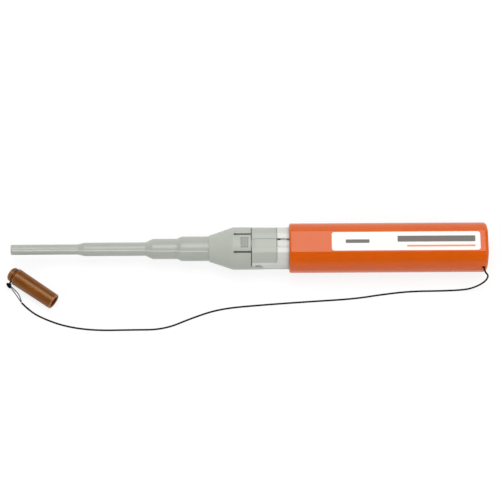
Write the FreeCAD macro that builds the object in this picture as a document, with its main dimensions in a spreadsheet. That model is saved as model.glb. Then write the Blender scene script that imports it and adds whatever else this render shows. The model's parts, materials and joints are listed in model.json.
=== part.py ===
"""Pen-shaped cleaner for fibre connectors: a parametric FreeCAD document, in millimetres.

Each piece is modelled along X from the pen's tip (x = 0) with the pen's axis at y = z = 0.
Placements then put the pen on its rest: X runs from the tip to the closed end of the grip,
the middle of the pen is at x = 0, and the flat under the grip lies at z = 0.
"""
import FreeCAD, Part
import math
import os
import re

import Sketcher
from FreeCAD import Placement, Rotation, Vector

SIZES = {
    # nozzle, from the tip to the nose
    "tip_diameter": 5.0, "tip_length": 32.7, "tip_taper": 3.2, "tip_bore": 2.6, "tip_bore_depth": 4.0,
    "thread_way": 3.5, "stem_diameter": 6.6, "stem_length": 29.7, "stem_bore": 4.6, "flare_length": 2.3,
    "flare_diameter": 8.8, "mouth_taper": 1.3, "neck_diameter": 9.9, "neck_length": 11.7,
    "neck_taper": 2.2, "shank_diameter": 12.0, "shank_show": 13.4, "spigot_diameter": 8.0,
    "spigot_length": 22.0, "shank_bore": 9.2, "flange_diameter": 14.6, "flange_width": 2.4,
    "flange_set_in": 14.5,
    # nose
    "nose_front_diameter": 12.9, "nose_step": 0.05, "nose_cone_length": 11.5,
    "nose_ring_length": 9.0, "nose_wall": 1.2, "nose_bearing": 4.0, "tab_width": 8.2,
    "tab_length": 7.8, "tab_slot": 0.8, "tab_play": 0.15, "pad_length": 2.7, "pad_width": 4.2,
    "pad_height": 0.1,
    "pad_pocket": 0.55, "pad_border": 0.45,
    "pad_ridges": 4, "key_width": 3.4, "key_length": 2.6, "key_reach": 2.3, "arm_length": 5.6,
    "arm_width": 4.8, "arm_thickness": 0.8, "arm_corner": 1.0, "lip_chamfer": 0.25,
    # mechanism case and its collar
    "case_diameter": 20.5, "flat_depth": 1.15, "case_wall": 1.2, "case_show": 18.1,
    "nose_gap": 0.4, "socket_length": 7.0, "socket_bore": 15.2,
    "front_room": 13.0, "collar_length": 11.9, "collar_thickness": 0.8, "collar_edge": 5.1,
    "collar_corner": 1.2,
    "channel_width": 4.5, "channel_depth": 0.8, "panel_depth": 0.25, "slit_width": 0.6,
    "slit_length": 16.0, "seam_width": 0.2,
    "seam_depth": 0.3, "catch_length": 2.5, "catch_height": 0.9, "catch_set_in": 1.8,
    "bulkhead_gap": 2.7, "bulkhead_wall": 1.5, "spring_room": 27.7,
    # grip barrel
    "barrel_wall": 1.55, "rear_room": 1.5,
    "front_round": 1.0, "rear_round": 1.7, "label_length": 71.6, "label_width": 9.3,
    "label_thickness": 0.12, "label_set_in": 4.1, "label_corner": 1.2, "strap_hole_diameter": 1.5,
    "strap_hole_set_in": 2.3, "strap_hole_rise": 4.07, "stroke": 12.0,
    # gear train and reels, axes upright
    "module": 0.8, "pinion_teeth": 14, "reel_teeth": 16, "backlash": 0.16, "gear_width": 2.0,
    "gear_gap": 0.3, "transfer_width": 1.7, "pinion_x": 35.0, "rack_height": 2.2, "rack_thickness": 3.2,
    "rack_wall": 1.3, "rack_margin": 3.4, "post_diameter": 3.0, "shoulder_diameter": 5.2,
    "hub_diameter": 6.0, "flange_sheet": 0.5, "take_up_winding": 10.0,
    "take_up_depth": 4.4, "supply_winding": 12.6, "supply_depth": 10.4,
    "reel_gap": 1.2, "washer_sheet": 0.25,
    # cleaning shaft, cam and thread
    "shaft_diameter": 2.0, "shaft_start": 6.0, "shaft_set_in": 2.5, "head_diameter": 1.9,
    "head_start": 4.7, "head_chamfer": 0.5, "shaft_collar": 6.0, "spring_ahead": 3.5,
    "thread_diameter": 0.4, "thread_track": 1.3, "cam_diameter": 8.6, "cam_set_in": 0.7,
    "cam_length": 12.0,
    "head_travel": 1.0, "guide_thickness": 3.0, "guide_hole": 1.0,
    # springs
    "spring_diameter": 8.0, "spring_wire": 0.9, "spring_turns": 7, "seat_diameter": 6.4,
    "seat_height": 3.0, "head_spring_diameter": 6.4, "head_spring_wire": 0.4, "head_spring_turns": 4,
    # tip cap, lying beside the nozzle
    "cap_length": 26.3, "cap_end_diameter": 7.1, "cap_diameter": 8.3, "cap_mouth_diameter": 7.8,
    "cap_bore": 5.7, "cap_floor": 3.9, "cap_rim": 2.1, "cap_neck": 1.4, "cap_neck_diameter": 6.3,
    "cap_round": 0.9, "cap_edge": 0.3, "cap_lead_in": 0.4, "cap_hole": 0.9,
    "cap_x": -116.6, "cap_y": -9.7, "cap_turn": -34.4,
    # strap
    "cord_diameter": 0.86, "loop_diameter": 0.44, "knot_diameter": 2.6, "strand_pair": 0.7,
    "bead_diameter": 1.3, "strand_show": 0.5,
    # play
    "slide_play": 0.3, "turn_play": 0.1, "seat_play": 0.06,
}

STATIONS = {
    "stem_start": "tip_length + tip_taper",
    "stem_end": "stem_start + stem_length",
    "flare_end": "stem_end + flare_length",
    "mouth_end": "flare_end + mouth_taper",
    "neck_end": "mouth_end + neck_length",
    "shank_start": "neck_end + neck_taper",
    "nose_front": "shank_start + shank_show",
    "nose_shoulder": "nose_front + nose_cone_length",
    "nose_rear": "nose_shoulder + nose_ring_length",
    "case_front": "nose_rear + nose_gap",
    "barrel_front": "case_front + case_show",
    "collar_place": "nose_front - spring_ahead",
    "cam_start": "nose_front + cam_set_in",
    "shaft_rear": "nose_rear - shaft_set_in",
    "case_flats": "case_diameter - 2 * flat_depth",
    "nose_diameter": "case_diameter + 2 * nose_step",
    "barrel_diameter": "case_diameter + 2 * slide_play + 2 * barrel_wall",
    "barrel_flats": "case_flats + 2 * slide_play + 2 * barrel_wall",
    "axis_height": "barrel_flats / 2",
    "main_start": "case_front + front_room",
    "gear_x": "case_front + pinion_x",
    "pinion_radius": "module * pinion_teeth / 2",
    "reel_radius": "module * reel_teeth / 2",
    "transfer_z": "gear_width / 2 + gear_gap",
    "take_up_top": "-gear_width / 2 - gear_gap",
    "reel_room": "case_diameter / 2 - case_wall - slide_play",
    "take_up_flange": "2 * sqrt(reel_room^2 - (take_up_depth - take_up_top)^2)",
    "supply_flange": "2 * sqrt(reel_room^2 - (supply_depth / 2)^2)",
    "rack_seat": "barrel_diameter / 2 - rack_wall",
    "pitch_y": "rack_seat - rack_thickness",
    "pinion_y": "pitch_y - pinion_radius",
    "take_up_x": "gear_x + sqrt((pinion_radius + reel_radius)^2 - pinion_y^2)",
    "mesh_angle": "-asin(pinion_y / (pinion_radius + reel_radius))",
    "supply_x": "take_up_x + take_up_flange / 2 + supply_flange / 2 + reel_gap",
    "bulkhead_x": "supply_x + supply_flange / 2 + bulkhead_gap",
    "case_rear": "bulkhead_x + spring_room",
    "case_length": "case_rear - case_front",
    "overall": "case_rear + stroke + rear_room + barrel_wall",
    "barrel_length": "overall - barrel_front",
    "floor_z": "case_flats / 2 - case_wall",
    "rack_x": "gear_x + stroke / 2",
    "rack_length": "stroke + 2 * rack_margin",
    "spring_front": "bulkhead_x + bulkhead_wall",
    "spring_rear": "overall - barrel_wall",
    "cap_axis_z": "cap_diameter / 2",
}

# where the case carries its turning parts: x, y, height of the shoulder, height of the upper boss
POSTS = [
    ("gear_x", "pinion_y", "-gear_width / 2 - gear_gap", "transfer_z + transfer_width + gear_gap"),
    ("take_up_x", "0", "take_up_top - take_up_depth - gear_gap",
     "transfer_z + transfer_width + gear_gap"),
    ("supply_x", "0", "-supply_depth / 2 - gear_gap - washer_sheet", "supply_depth / 2 + gear_gap"),
]

# the strap's way from the hole in the grip down to the table and along it, as it lies
CORD_POINTS = [
    (113.5, -9.9, 14.97), (114.0, -13.5, 14.65), (116.3, -14.6, 11.8), (115.4, -16.2, 8.2),
    (112.6, -17.4, 4.6), (108.7, -18.3, 1.7), (104.0, -18.7, 0.43), (94.4, -19.1, 0.43),
    (79.4, -19.2, 0.43), (65.6, -20.7, 0.43), (51.4, -22.9, 0.43), (30.4, -24.1, 0.43),
    (6.4, -25.7, 0.43), (-14.1, -27.5, 0.43), (-27.6, -32.0, 0.43), (-41.4, -37.8, 0.43),
    (-57.6, -37.9, 0.43), (-75.6, -38.1, 0.43), (-89.6, -36.0, 0.43), (-100.6, -31.9, 0.43),
    (-107.2, -28.0, 0.43), (-111.2, -23.9, 0.43),
]

# the two strands of the thin loop, from the knot at the cap's neck to the end of the cord
LOOP_STRANDS = [
    [(-116.8, -16.2, 2.6), (-115.2, -18.2, 0.9), (-113.6, -20.4, 0.26), (-111.5, -23.5, 0.3)],
    [(-116.4, -16.1, 2.9), (-113.9, -17.6, 1.2), (-112.2, -19.9, 0.26), (-111.3, -23.4, 0.3)],
]
KNOT_POINT = (-117.2, -15.84, 3.35)

document = FreeCAD.newDocument("ConnectorCleaner")
pieces = {}


def make_sheets():
    """Write the driving sizes, and the places worked out from them, into two sheets."""
    sizes = document.addObject("Spreadsheet::Sheet", "Sizes")
    for row, (alias, value) in enumerate(SIZES.items(), start=1):
        sizes.set(f"A{row}", alias)
        sizes.set(f"B{row}", str(value))
        sizes.setAlias(f"B{row}", alias)
    stations = document.addObject("Spreadsheet::Sheet", "Stations")
    for row, (alias, rule) in enumerate(STATIONS.items(), start=1):
        stations.set(f"A{row}", alias)
        stations.set(f"B{row}", "=" + bound(rule, own="Stations"))
        stations.setAlias(f"B{row}", alias)
        document.recompute()


def bound(rule, own=None):
    """Turn the names in a rule into references to the sheets' cells."""
    def cell(match):
        word = match.group(0)
        if word in SIZES:
            return "Sizes." + word
        if word in STATIONS:
            return word if own == "Stations" else "Stations." + word
        return word
    return re.sub(r"[a-z][a-z_0-9]*", cell, str(rule))


def size(rule):
    """The present value of a rule."""
    value = document.Sizes.evalExpression(bound(rule))
    return float(getattr(value, "Value", value))


def bind(thing, path, rule):
    thing.setExpression(path, bound(rule))


def place(thing, x="-overall / 2", y="0", z="axis_height", turn=None, axis=Vector(0, 0, 1)):
    """Bind a piece's Placement, in the finished pen's frame."""
    if turn is not None:
        thing.Placement = Placement(Vector(), Rotation(axis, 1))
        bind(thing, "Placement.Rotation.Angle", turn)
    bind(thing, "Placement.Base.x", x)
    bind(thing, "Placement.Base.y", y)
    bind(thing, "Placement.Base.z", z)


def keep(label, thing, **where):
    """Name a finished piece, place it and list it for writing."""
    thing.Label = label
    if where.get("placed", True):
        where.pop("placed", None)
        place(thing, **where)
    pieces[label] = thing
    return thing


def origin_part(body, role):
    return next(item for item in body.Origin.OriginFeatures if item.Role == role)


def new_sketch(body, plane, name="Outline"):
    sketch = body.newObject("Sketcher::SketchObject", name)
    sketch.AttachmentSupport = (origin_part(body, plane), [""])
    sketch.MapMode = "FlatFace"
    return sketch


def pin_point(sketch, edge, end, across, up):
    """Tie one end of a sketch edge to its two rules, measured from the sketch's origin."""
    for kind, rule, axis in (("DistanceX", across, -2), ("DistanceY", up, -1)):
        if str(rule) == "0":
            sketch.addConstraint(Sketcher.Constraint("PointOnObject", edge, end, axis))
        else:
            row = sketch.addConstraint(Sketcher.Constraint(kind, -1, 1, edge, end, size(rule)))
            bind(sketch, f"Constraints[{row}]", rule)


def draw_outline(sketch, corners):
    """A closed outline of straight edges; each corner is a pair of rules."""
    spots = [Vector(size(across), size(up), 0) for across, up in corners]
    for here, there in zip(spots, spots[1:] + spots[:1]):
        sketch.addGeometry(Part.LineSegment(here, there), False)
    count = len(corners)
    for edge in range(count):
        sketch.addConstraint(Sketcher.Constraint("Coincident", edge, 2, (edge + 1) % count, 1))
    for edge, (across, up) in enumerate(corners):
        pin_point(sketch, edge, 1, across, up)


def turned(corners, upright=False, name="Turned"):
    """A body turned about X, or about Z when upright, from an outline of (along, radius)."""
    body = document.addObject("PartDesign::Body", name)
    sketch = new_sketch(body, "XZ_Plane")
    draw_outline(sketch, [(radius, along) for along, radius in corners] if upright else corners)
    turning = body.newObject("PartDesign::Revolution", "Turning")
    turning.Profile = sketch
    turning.ReferenceAxis = (sketch, ["V_Axis" if upright else "H_Axis"])
    turning.Angle = 360
    document.recompute()
    return body


def flatted_pad(radius, flat, start, length, name="Flatted"):
    """A bar along X whose round section has a flat above and below."""
    body = document.addObject("PartDesign::Body", name)
    sketch = new_sketch(body, "YZ_Plane")
    bind(sketch, "AttachmentOffset.Base.z", start)
    round_size, flat_size = size(radius), size(flat)
    half_angle = math.asin(flat_size / round_size)
    half_width = math.sqrt(round_size ** 2 - flat_size ** 2)
    middle, normal = Vector(0, 0, 0), Vector(0, 0, 1)
    corners = [Vector(half_width, flat_size, 0), Vector(-half_width, flat_size, 0),
               Vector(-half_width, -flat_size, 0), Vector(half_width, -flat_size, 0)]
    circle = Part.Circle(middle, normal, round_size)
    sketch.addGeometry(Part.LineSegment(corners[0], corners[1]), False)
    sketch.addGeometry(Part.ArcOfCircle(circle, math.pi - half_angle, math.pi + half_angle), False)
    sketch.addGeometry(Part.LineSegment(corners[2], corners[3]), False)
    sketch.addGeometry(Part.ArcOfCircle(circle, -half_angle, half_angle), False)
    for edge, end, other, start_end in ((0, 2, 1, 1), (1, 2, 2, 1), (2, 2, 3, 1), (3, 2, 0, 1)):
        sketch.addConstraint(Sketcher.Constraint("Coincident", edge, end, other, start_end))
    for arc in (1, 3):
        sketch.addConstraint(Sketcher.Constraint("Coincident", arc, 3, -1, 1))
    row = sketch.addConstraint(Sketcher.Constraint("Radius", 1, round_size))
    bind(sketch, f"Constraints[{row}]", radius)
    for edge, sign in ((0, 1), (2, -1)):
        sketch.addConstraint(Sketcher.Constraint("Horizontal", edge))
        rule = flat if sign > 0 else f"-({flat})"
        row = sketch.addConstraint(
            Sketcher.Constraint("DistanceY", -1, 1, edge, 1, sign * flat_size))
        bind(sketch, f"Constraints[{row}]", rule)
    pad = body.newObject("PartDesign::Pad", "Bar")
    pad.Profile = sketch
    bind(pad, "Length", length)
    document.recompute()
    return body


def block(x, y, z, length, width, height, name="Block"):
    """A box from its lowest corner, each value a rule."""
    box = document.addObject("Part::Box", name)
    for path, rule in (("Length", length), ("Width", width), ("Height", height),
                       ("Placement.Base.x", x), ("Placement.Base.y", y), ("Placement.Base.z", z)):
        bind(box, path, rule)
    return box


def rod(diameter, length, x="0", y="0", z="0", along="z", name="Rod"):
    """A cylinder that starts at a point and runs along an axis."""
    cylinder = document.addObject("Part::Cylinder", name)
    ways = {"x": Rotation(Vector(0, 1, 0), 90), "y": Rotation(Vector(1, 0, 0), -90),
            "z": Rotation()}
    cylinder.Placement = Placement(Vector(), ways[along])
    for path, rule in (("Radius", f"({diameter}) / 2"), ("Height", length),
                       ("Placement.Base.x", x), ("Placement.Base.y", y), ("Placement.Base.z", z)):
        bind(cylinder, path, rule)
    return cylinder


def fused(*things):
    joined = document.addObject("Part::MultiFuse", "Joined")
    joined.Shapes = list(things)
    joined.Refine = True
    document.recompute()
    return joined


def cut(base, *tools):
    """The base less all the tools."""
    result = document.addObject("Part::Cut", "Cut")
    result.Base = base
    result.Tool = tools[0] if len(tools) == 1 else fused(*tools)
    result.Refine = True
    document.recompute()
    return result


def shared(base, other):
    result = document.addObject("Part::Common", "Shared")
    result.Base = base
    result.Tool = other
    document.recompute()
    return result


def rounded(base, radius, choose):
    """Round the edges of a Part object that a test on the edge picks."""
    fillet = document.addObject("Part::Fillet", "Rounded")
    fillet.Base = base
    value = size(radius)
    fillet.Edges = [(number, value, value)
                    for number, edge in enumerate(base.Shape.Edges, start=1) if choose(edge)]
    document.recompute()
    return fillet


def edge_at_x(place_x):
    """A test for edges that lie in the plane across the pen at a station."""
    def test(edge):
        box = edge.BoundBox
        return abs(box.XMin - place_x) < 1e-4 and abs(box.XMax - place_x) < 1e-4
    return test


def make_nozzle():
    """The stepped nozzle: a slim tip tube seated in the telescoping nozzle tube."""
    seat = "mouth_end + spigot_length"
    tip_tube = turned([
        ("0", "tip_bore / 2"), ("0", "tip_diameter / 2 - 0.25"), ("0.25", "tip_diameter / 2"),
        ("tip_length", "tip_diameter / 2"), ("stem_start", "stem_diameter / 2"),
        ("stem_end", "stem_diameter / 2"), ("flare_end", "flare_diameter / 2"),
        ("flare_end", "spigot_diameter / 2"), (seat, "spigot_diameter / 2"),
        (seat, "stem_bore / 2"), ("stem_start", "stem_bore / 2"), ("tip_length", "thread_way / 2"),
        ("tip_bore_depth", "thread_way / 2"), ("tip_bore_depth", "tip_bore / 2"),
    ])
    keep("tip_tube", tip_tube)

    flange_front = "nose_front + flange_set_in - flange_width"
    flange_rear = "nose_front + flange_set_in"
    shell = turned([
        ("flare_end", "spigot_diameter / 2"), ("flare_end", "flare_diameter / 2"),
        ("mouth_end", "neck_diameter / 2"), ("neck_end", "neck_diameter / 2"),
        ("shank_start", "shank_diameter / 2"), (flange_front, "shank_diameter / 2"),
        (flange_front, "flange_diameter / 2"), (flange_rear, "flange_diameter / 2"),
        (flange_rear, "shank_bore / 2"), (seat, "shank_bore / 2"), (seat, "spigot_diameter / 2"),
    ])
    keyway = block(f"{flange_front} - 0.1", "-key_width / 2 - slide_play",
                   "nose_diameter / 2 - nose_wall - key_reach - slide_play",
                   "flange_width + 0.2", "key_width + 2 * slide_play", "key_reach + 2", "Keyway")
    keep("nozzle_tube", cut(shell, keyway))


def make_nose():
    """The conical nose with its sprung tab, which keys the nozzle's flange."""
    outer = "nose_diameter / 2"
    inner = "nose_diameter / 2 - nose_wall"
    throat = "shank_diameter / 2 + turn_play"
    shell = turned([
        ("nose_front", throat), ("nose_front", "nose_front_diameter / 2 - lip_chamfer"),
        ("nose_front + lip_chamfer", "nose_front_diameter / 2"),
        ("nose_shoulder - lip_chamfer", f"{outer} - lip_chamfer / 2"),
        ("nose_shoulder + lip_chamfer", outer), ("nose_rear - lip_chamfer", outer),
        ("nose_rear", f"{outer} - lip_chamfer"), ("nose_rear", inner),
        ("nose_shoulder", inner), ("nose_front + nose_bearing", throat),
    ])
    tools = []
    for inside, middle in (("tab_width / 2", "(tab_width + tab_slot) / 2"),
                           ("-tab_width / 2 - tab_slot", "-(tab_width + tab_slot) / 2")):
        tools.append(block("nose_rear - tab_length", inside, "nose_diameter / 4",
                           "tab_length + 1", "tab_slot", "nose_diameter / 2", "TabSlot"))
        tools.append(rod("1.4 * tab_slot", "nose_diameter / 2", "nose_rear - tab_length", middle,
                         "nose_diameter / 4", name="SlotEnd"))
    pad_x = "nose_rear - 1.9 - pad_length"
    tools.append(block(f"{pad_x} - pad_border", "-pad_width / 2 - pad_border",
                       f"{outer} - pad_pocket", "pad_length + 2 * pad_border",
                       "pad_width + 2 * pad_border", "nose_wall", "PadPocket"))
    bare = cut(shell, *tools)
    key = block("nose_rear - key_length", "-key_width / 2", f"{inner} - key_reach", "key_length",
                "key_width", "key_reach + nose_wall / 2", "Key")
    parts = [bare, key, make_arms()]
    ridge = "pad_length / (2 * pad_ridges - 1)"
    for number in range(int(SIZES["pad_ridges"])):
        parts.append(block(f"{pad_x} + {2 * number} * {ridge}", "-pad_width / 2",
                           f"{outer} - (nose_wall + pad_pocket) / 2", ridge, "pad_width",
                           "(nose_wall + pad_pocket) / 2 + pad_height", "Ridge"))
    keep("nose_cone", fused(*parts))


def arm_ring(reach, play, name):
    """A ring just inside the nose's skin that runs back past its rear edge."""
    band = document.addObject("Part::Cut", name)
    band.Base = rod(f"nose_diameter + 2 * ({play})", f"arm_length + nose_wall + {play}",
                    x="nose_rear - nose_wall", along="x", name="ArmOutside")
    band.Tool = rod(f"nose_diameter - 2 * arm_thickness - 2 * ({play})",
                    "arm_length + nose_wall + 2", x="nose_rear - nose_wall - 1", along="x",
                    name="ArmInside")
    return shared(band, block("nose_rear - nose_wall - 2", "-case_diameter",
                              f"-arm_width / 2 - {play}", f"arm_length + nose_wall + {reach}",
                              "2 * case_diameter", f"arm_width + 2 * {play}", "ArmBand"))


def make_arms():
    """The nose's two side arms, which reach back over the case and hold it."""
    arms = arm_ring(4, "0", "Arms")
    rear = size("nose_rear + arm_length")

    def rear_corner(edge):
        box = edge.BoundBox
        return (abs(box.XMin - rear) < 1e-4 and abs(box.XMax - rear) < 1e-4
                and box.ZLength < 1e-4)
    return rounded(arms, "arm_corner", rear_corner)


def make_collar_blank():
    """The collar's saddle before its corners are rounded, and a test for those corners."""
    ring = flatted_pad("case_diameter / 2", "case_flats / 2", "case_front", "collar_length")
    core = flatted_pad("case_diameter / 2 - collar_thickness", "case_flats / 2 - collar_thickness",
                       "case_front - 1", "collar_length + 2")
    below = block("case_front - 1", "-case_diameter", "-case_diameter", "collar_length + 2",
                  "2 * case_diameter", "case_diameter + collar_edge", "Below")
    saddle = cut(ring, core, below)
    rear = size("case_front + collar_length")
    edge_z = size("collar_edge")

    def lower_rear(edge):
        box = edge.BoundBox
        return (abs(box.XMin - rear) < 1e-4 and abs(box.XMax - rear) < 1e-4
                and abs(box.ZMin - edge_z) < 1e-4 and abs(box.ZMax - edge_z) < 1e-4)
    return saddle, lower_rear


def make_case():
    """The clear mechanism case in two halves, with posts for the reels, and the grey collar."""
    outside = fused(
        flatted_pad("case_diameter / 2", "case_flats / 2", "case_front", "case_length"),
        rod("2 * (nose_diameter / 2 - nose_wall - seat_play)", "socket_length + 1",
            x="case_front - socket_length", along="x", name="Socket"))
    inner_radius = "case_diameter / 2 - case_wall"
    hollow = fused(
        rod("socket_bore", "socket_length + front_room + 2", x="case_front - socket_length - 1",
            along="x", name="FrontBore"),
        flatted_pad(inner_radius, "floor_z", "main_start", "bulkhead_x - main_start"),
        flatted_pad(inner_radius, "floor_z", "spring_front", "spring_room"))
    shell = cut(outside, hollow)
    tab_window = block("case_front - socket_length - 1", "-tab_width / 2 - tab_play", "0",
                       "socket_length + 1 - nose_gap", "tab_width + 2 * tab_play",
                       "nose_diameter", "TabWindow")
    rack_slot = block("rack_x - rack_length / 2 - stroke - slide_play", "case_diameter / 4",
                      "-rack_height / 2 - slide_play", "rack_length + stroke + slide_play + 0.2",
                      "case_diameter / 2", "rack_height + 2 * slide_play", "RackSlot")
    channel = block("case_front + collar_length", "-channel_width / 2",
                    "case_flats / 2 - channel_depth", "case_length", "channel_width",
                    "case_diameter", "Channel")
    slit = block("case_front + collar_length + nose_gap", "channel_width / 2 - slit_width",
                 "floor_z - case_wall", "slit_length", "slit_width", "case_diameter", "Slit")
    sides = [slit]
    for start in ("case_diameter / 2 - seam_depth", "-case_diameter"):
        sides.append(block("case_front", start, "-seam_width / 2", "case_length",
                           "case_diameter / 2 + seam_depth", "seam_width", "Seam"))
    for start in ("socket_bore / 2 - 0.5", "-case_diameter"):
        sides.append(block("case_front + catch_set_in", start, "arm_width / 2 + seat_play",
                           "catch_length", "case_diameter - socket_bore / 2 + 0.5",
                           "catch_height", "Catch"))
    thread_hole = rod("guide_hole", "case_wall * 4", x="bulkhead_x - case_wall", along="x")
    saddle, _ = make_collar_blank()
    pierced = cut(shell, tab_window, rack_slot, channel, saddle, thread_hole,
                  arm_ring(4, "seat_play", "ArmSeat"), *sides)

    reach = "case_diameter"
    span = "case_length + socket_length + 2"
    start = "case_front - socket_length - 1"
    lower_parts = [shared(pierced, block(start, f"-{reach}", f"-{reach}", span, f"2 * {reach}",
                                         reach, "LowerHalf"))]
    upper_parts = [shared(pierced, block(start, f"-{reach}", "0", span, f"2 * {reach}", reach,
                                         "UpperHalf"))]
    sockets = []
    for x, y, shoulder, boss in POSTS:
        lower_parts.append(rod("shoulder_diameter", f"{shoulder} + floor_z + case_wall / 2", x, y,
                               "-floor_z - case_wall / 2", name="Shoulder"))
        lower_parts.append(rod("post_diameter", f"{boss} + 1.2 + floor_z", x, y, "-floor_z",
                               name="Post"))
        upper_parts.append(rod("shoulder_diameter", f"floor_z + case_wall / 2 - ({boss})", x, y,
                               boss, name="Boss"))
        sockets.append(rod("post_diameter + 2 * turn_play", "1.2 + 2 * turn_play", x, y,
                           boss, name="PostSocket"))
    keep("case_bottom", fused(*lower_parts))
    keep("case_top", cut(fused(*upper_parts), *sockets))


def make_collar():
    saddle, lower_rear = make_collar_blank()
    shaped = rounded(saddle, "collar_corner", lower_rear)
    panel = block("case_front + collar_thickness", "-channel_width / 2",
                  "case_flats / 2 - panel_depth", "collar_length", "channel_width",
                  "case_diameter", "Panel")
    keep("front_collar", cut(shaped, panel))


def make_barrel():
    """The grip: a round shell with two flats, closed at the rear and open at the front."""
    body = flatted_pad("barrel_diameter / 2", "barrel_flats / 2", "barrel_front", "barrel_length")
    front, rear = size("barrel_front"), size("overall")
    for radius, station in (("front_round", front), ("rear_round", rear)):
        solid = body.Tip
        names = [f"Edge{number}" for number, edge in enumerate(solid.Shape.Edges, start=1)
                 if edge_at_x(station)(edge)]
        fillet = body.newObject("PartDesign::Fillet", "Rounding")
        fillet.Base = (solid, names)
        bind(fillet, "Radius", radius)
        document.recompute()
    bore_radius = "case_diameter / 2 + slide_play"
    bore_flat = "case_flats / 2 + slide_play"
    bore = flatted_pad(bore_radius, bore_flat, "barrel_front - 1", "barrel_length + 1 - barrel_wall")
    groove = block("rack_x - rack_length / 2", "pitch_y", "-rack_height / 2", "rack_length",
                   "rack_seat - pitch_y", "rack_height", "RackGroove")
    hole = rod("strap_hole_diameter", "barrel_diameter / 2", "overall - strap_hole_set_in",
               "-barrel_diameter / 2 - 1", "strap_hole_rise", along="y", name="StrapHole")
    seat = rod("seat_diameter", "seat_height", "overall - barrel_wall - seat_height", along="x",
               name="SpringSeat")
    keep("barrel_shell", fused(cut(body, bore, groove, hole), seat))

    label = block("overall - label_set_in - label_length", "-label_width / 2", "barrel_flats / 2",
                  "label_length", "label_width", "label_thickness", "Label")
    document.recompute()
    upright = rounded(label, "label_corner",
                      lambda edge: edge.BoundBox.ZLength > 1e-3)
    keep("barrel_label", upright)


def make_rack():
    """The toothed bar seated in the grip's wall; it turns the pinion as the case slides."""
    start = "rack_x - rack_length / 2"
    bar = block(start, "pitch_y - module", "-rack_height / 2", "rack_length",
                "rack_seat - pitch_y + module", "rack_height", "RackBar")
    pitch = math.pi * SIZES["module"]
    first = math.ceil((size(start) - size("gear_x")) / pitch - 0.5)
    last = math.floor((size(start) + size("rack_length") - size("gear_x")) / pitch + 0.5)
    gaps = []
    for number in range(first, last + 1):
        body = document.addObject("PartDesign::Body", "RackGap")
        sketch = new_sketch(body, "XY_Plane")
        bind(sketch, "AttachmentOffset.Base.z", "-rack_height")
        middle = f"gear_x + {number} * pi * module"
        wide = "pi * module / 4 + backlash / 2 + (module + 0.2) * tan(20)"
        slim = "pi * module / 4 + backlash / 2 - 1.2 * module * tan(20)"
        draw_outline(sketch, [
            (f"{middle} - ({wide})", "pitch_y - module - 0.2"),
            (f"{middle} + ({wide})", "pitch_y - module - 0.2"),
            (f"{middle} + ({slim})", "pitch_y + 1.2 * module"),
            (f"{middle} - ({slim})", "pitch_y + 1.2 * module")])
        pad = body.newObject("PartDesign::Pad", "Gap")
        pad.Profile = sketch
        bind(pad, "Length", "2 * rack_height")
        gaps.append(body)
    document.recompute()
    keep("drive_rack", cut(bar, *gaps))


def toothed(teeth, start, width, corners_inside=None):
    """A spur gear about Z, its gaps cut by a polar pattern; a gap lies on +X."""
    pitch_radius = f"module * {teeth} / 2"
    body = document.addObject("PartDesign::Body", "Gear")
    sketch = new_sketch(body, "XZ_Plane")
    bore = "post_diameter / 2 + turn_play"
    draw_outline(sketch, corners_inside or [
        (bore, start), (f"{pitch_radius} + module", start),
        (f"{pitch_radius} + module", f"{start} + {width}"), (bore, f"{start} + {width}")])
    turning = body.newObject("PartDesign::Revolution", "Blank")
    turning.Profile = sketch
    turning.ReferenceAxis = (sketch, ["V_Axis"])
    turning.Angle = 360
    document.recompute()
    gap = new_sketch(body, "XY_Plane", "Gap")
    bind(gap, "AttachmentOffset.Base.z", start)
    outside = f"{pitch_radius} + 1.4 * module"
    root = f"{pitch_radius} - 1.2 * module"
    half_tip = "pi * module / 4 + backlash / 2 + 0.88 * module"
    half_pitch = "pi * module / 4 + backlash / 2"
    half_root = "0.55 * module"
    draw_outline(gap, [
        (root, f"-{half_root}"), (pitch_radius, f"-({half_pitch})"), (outside, f"-({half_tip})"),
        (outside, half_tip), (pitch_radius, half_pitch), (root, half_root)])
    pocket = body.newObject("PartDesign::Pocket", "ToothGap")
    pocket.Profile = gap
    bind(pocket, "Length", width)
    pocket.Reversed = True
    document.recompute()
    pattern = body.newObject("PartDesign::PolarPattern", "Teeth")
    pattern.Originals = [pocket]
    pattern.Axis = (origin_part(body, "Z_Axis"), [""])
    pattern.Angle = 360
    bind(pattern, "Occurrences", teeth)
    body.Tip = pattern
    document.recompute()
    return body


def make_gears():
    """The pinion on the rack, the transfer gear above it and the take-up reel it turns."""
    keep("rack_pinion", toothed("pinion_teeth", "-gear_width / 2", "gear_width"),
         x="gear_x - overall / 2", y="pinion_y")
    keep("transfer_gear", toothed("pinion_teeth", "transfer_z", "transfer_width"),
         x="gear_x - overall / 2", y="pinion_y", turn="mesh_angle + 180 deg / pinion_teeth")

    bore = "post_diameter / 2 + turn_play"
    hub = "hub_diameter / 2"
    rim = "take_up_flange / 2"
    low = "take_up_top - take_up_depth"
    spool = turned([
        (low, bore), (low, rim), (f"{low} + flange_sheet", rim), (f"{low} + flange_sheet", hub),
        ("take_up_top - flange_sheet", hub), ("take_up_top - flange_sheet", rim),
        ("take_up_top", rim), ("take_up_top", hub), ("transfer_z", hub), ("transfer_z", bore),
    ], upright=True)
    wheel = toothed("reel_teeth", "transfer_z", "transfer_width")
    keep("take_up_reel", fused(spool, wheel), x="take_up_x - overall / 2",
         turn="mesh_angle + 180 deg")
    keep("take_up_winding", turned([
        (f"{low} + flange_sheet", hub), (f"{low} + flange_sheet", "take_up_winding / 2"),
        ("take_up_top - flange_sheet", "take_up_winding / 2"), ("take_up_top - flange_sheet", hub),
    ], upright=True), x="take_up_x - overall / 2")


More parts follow.
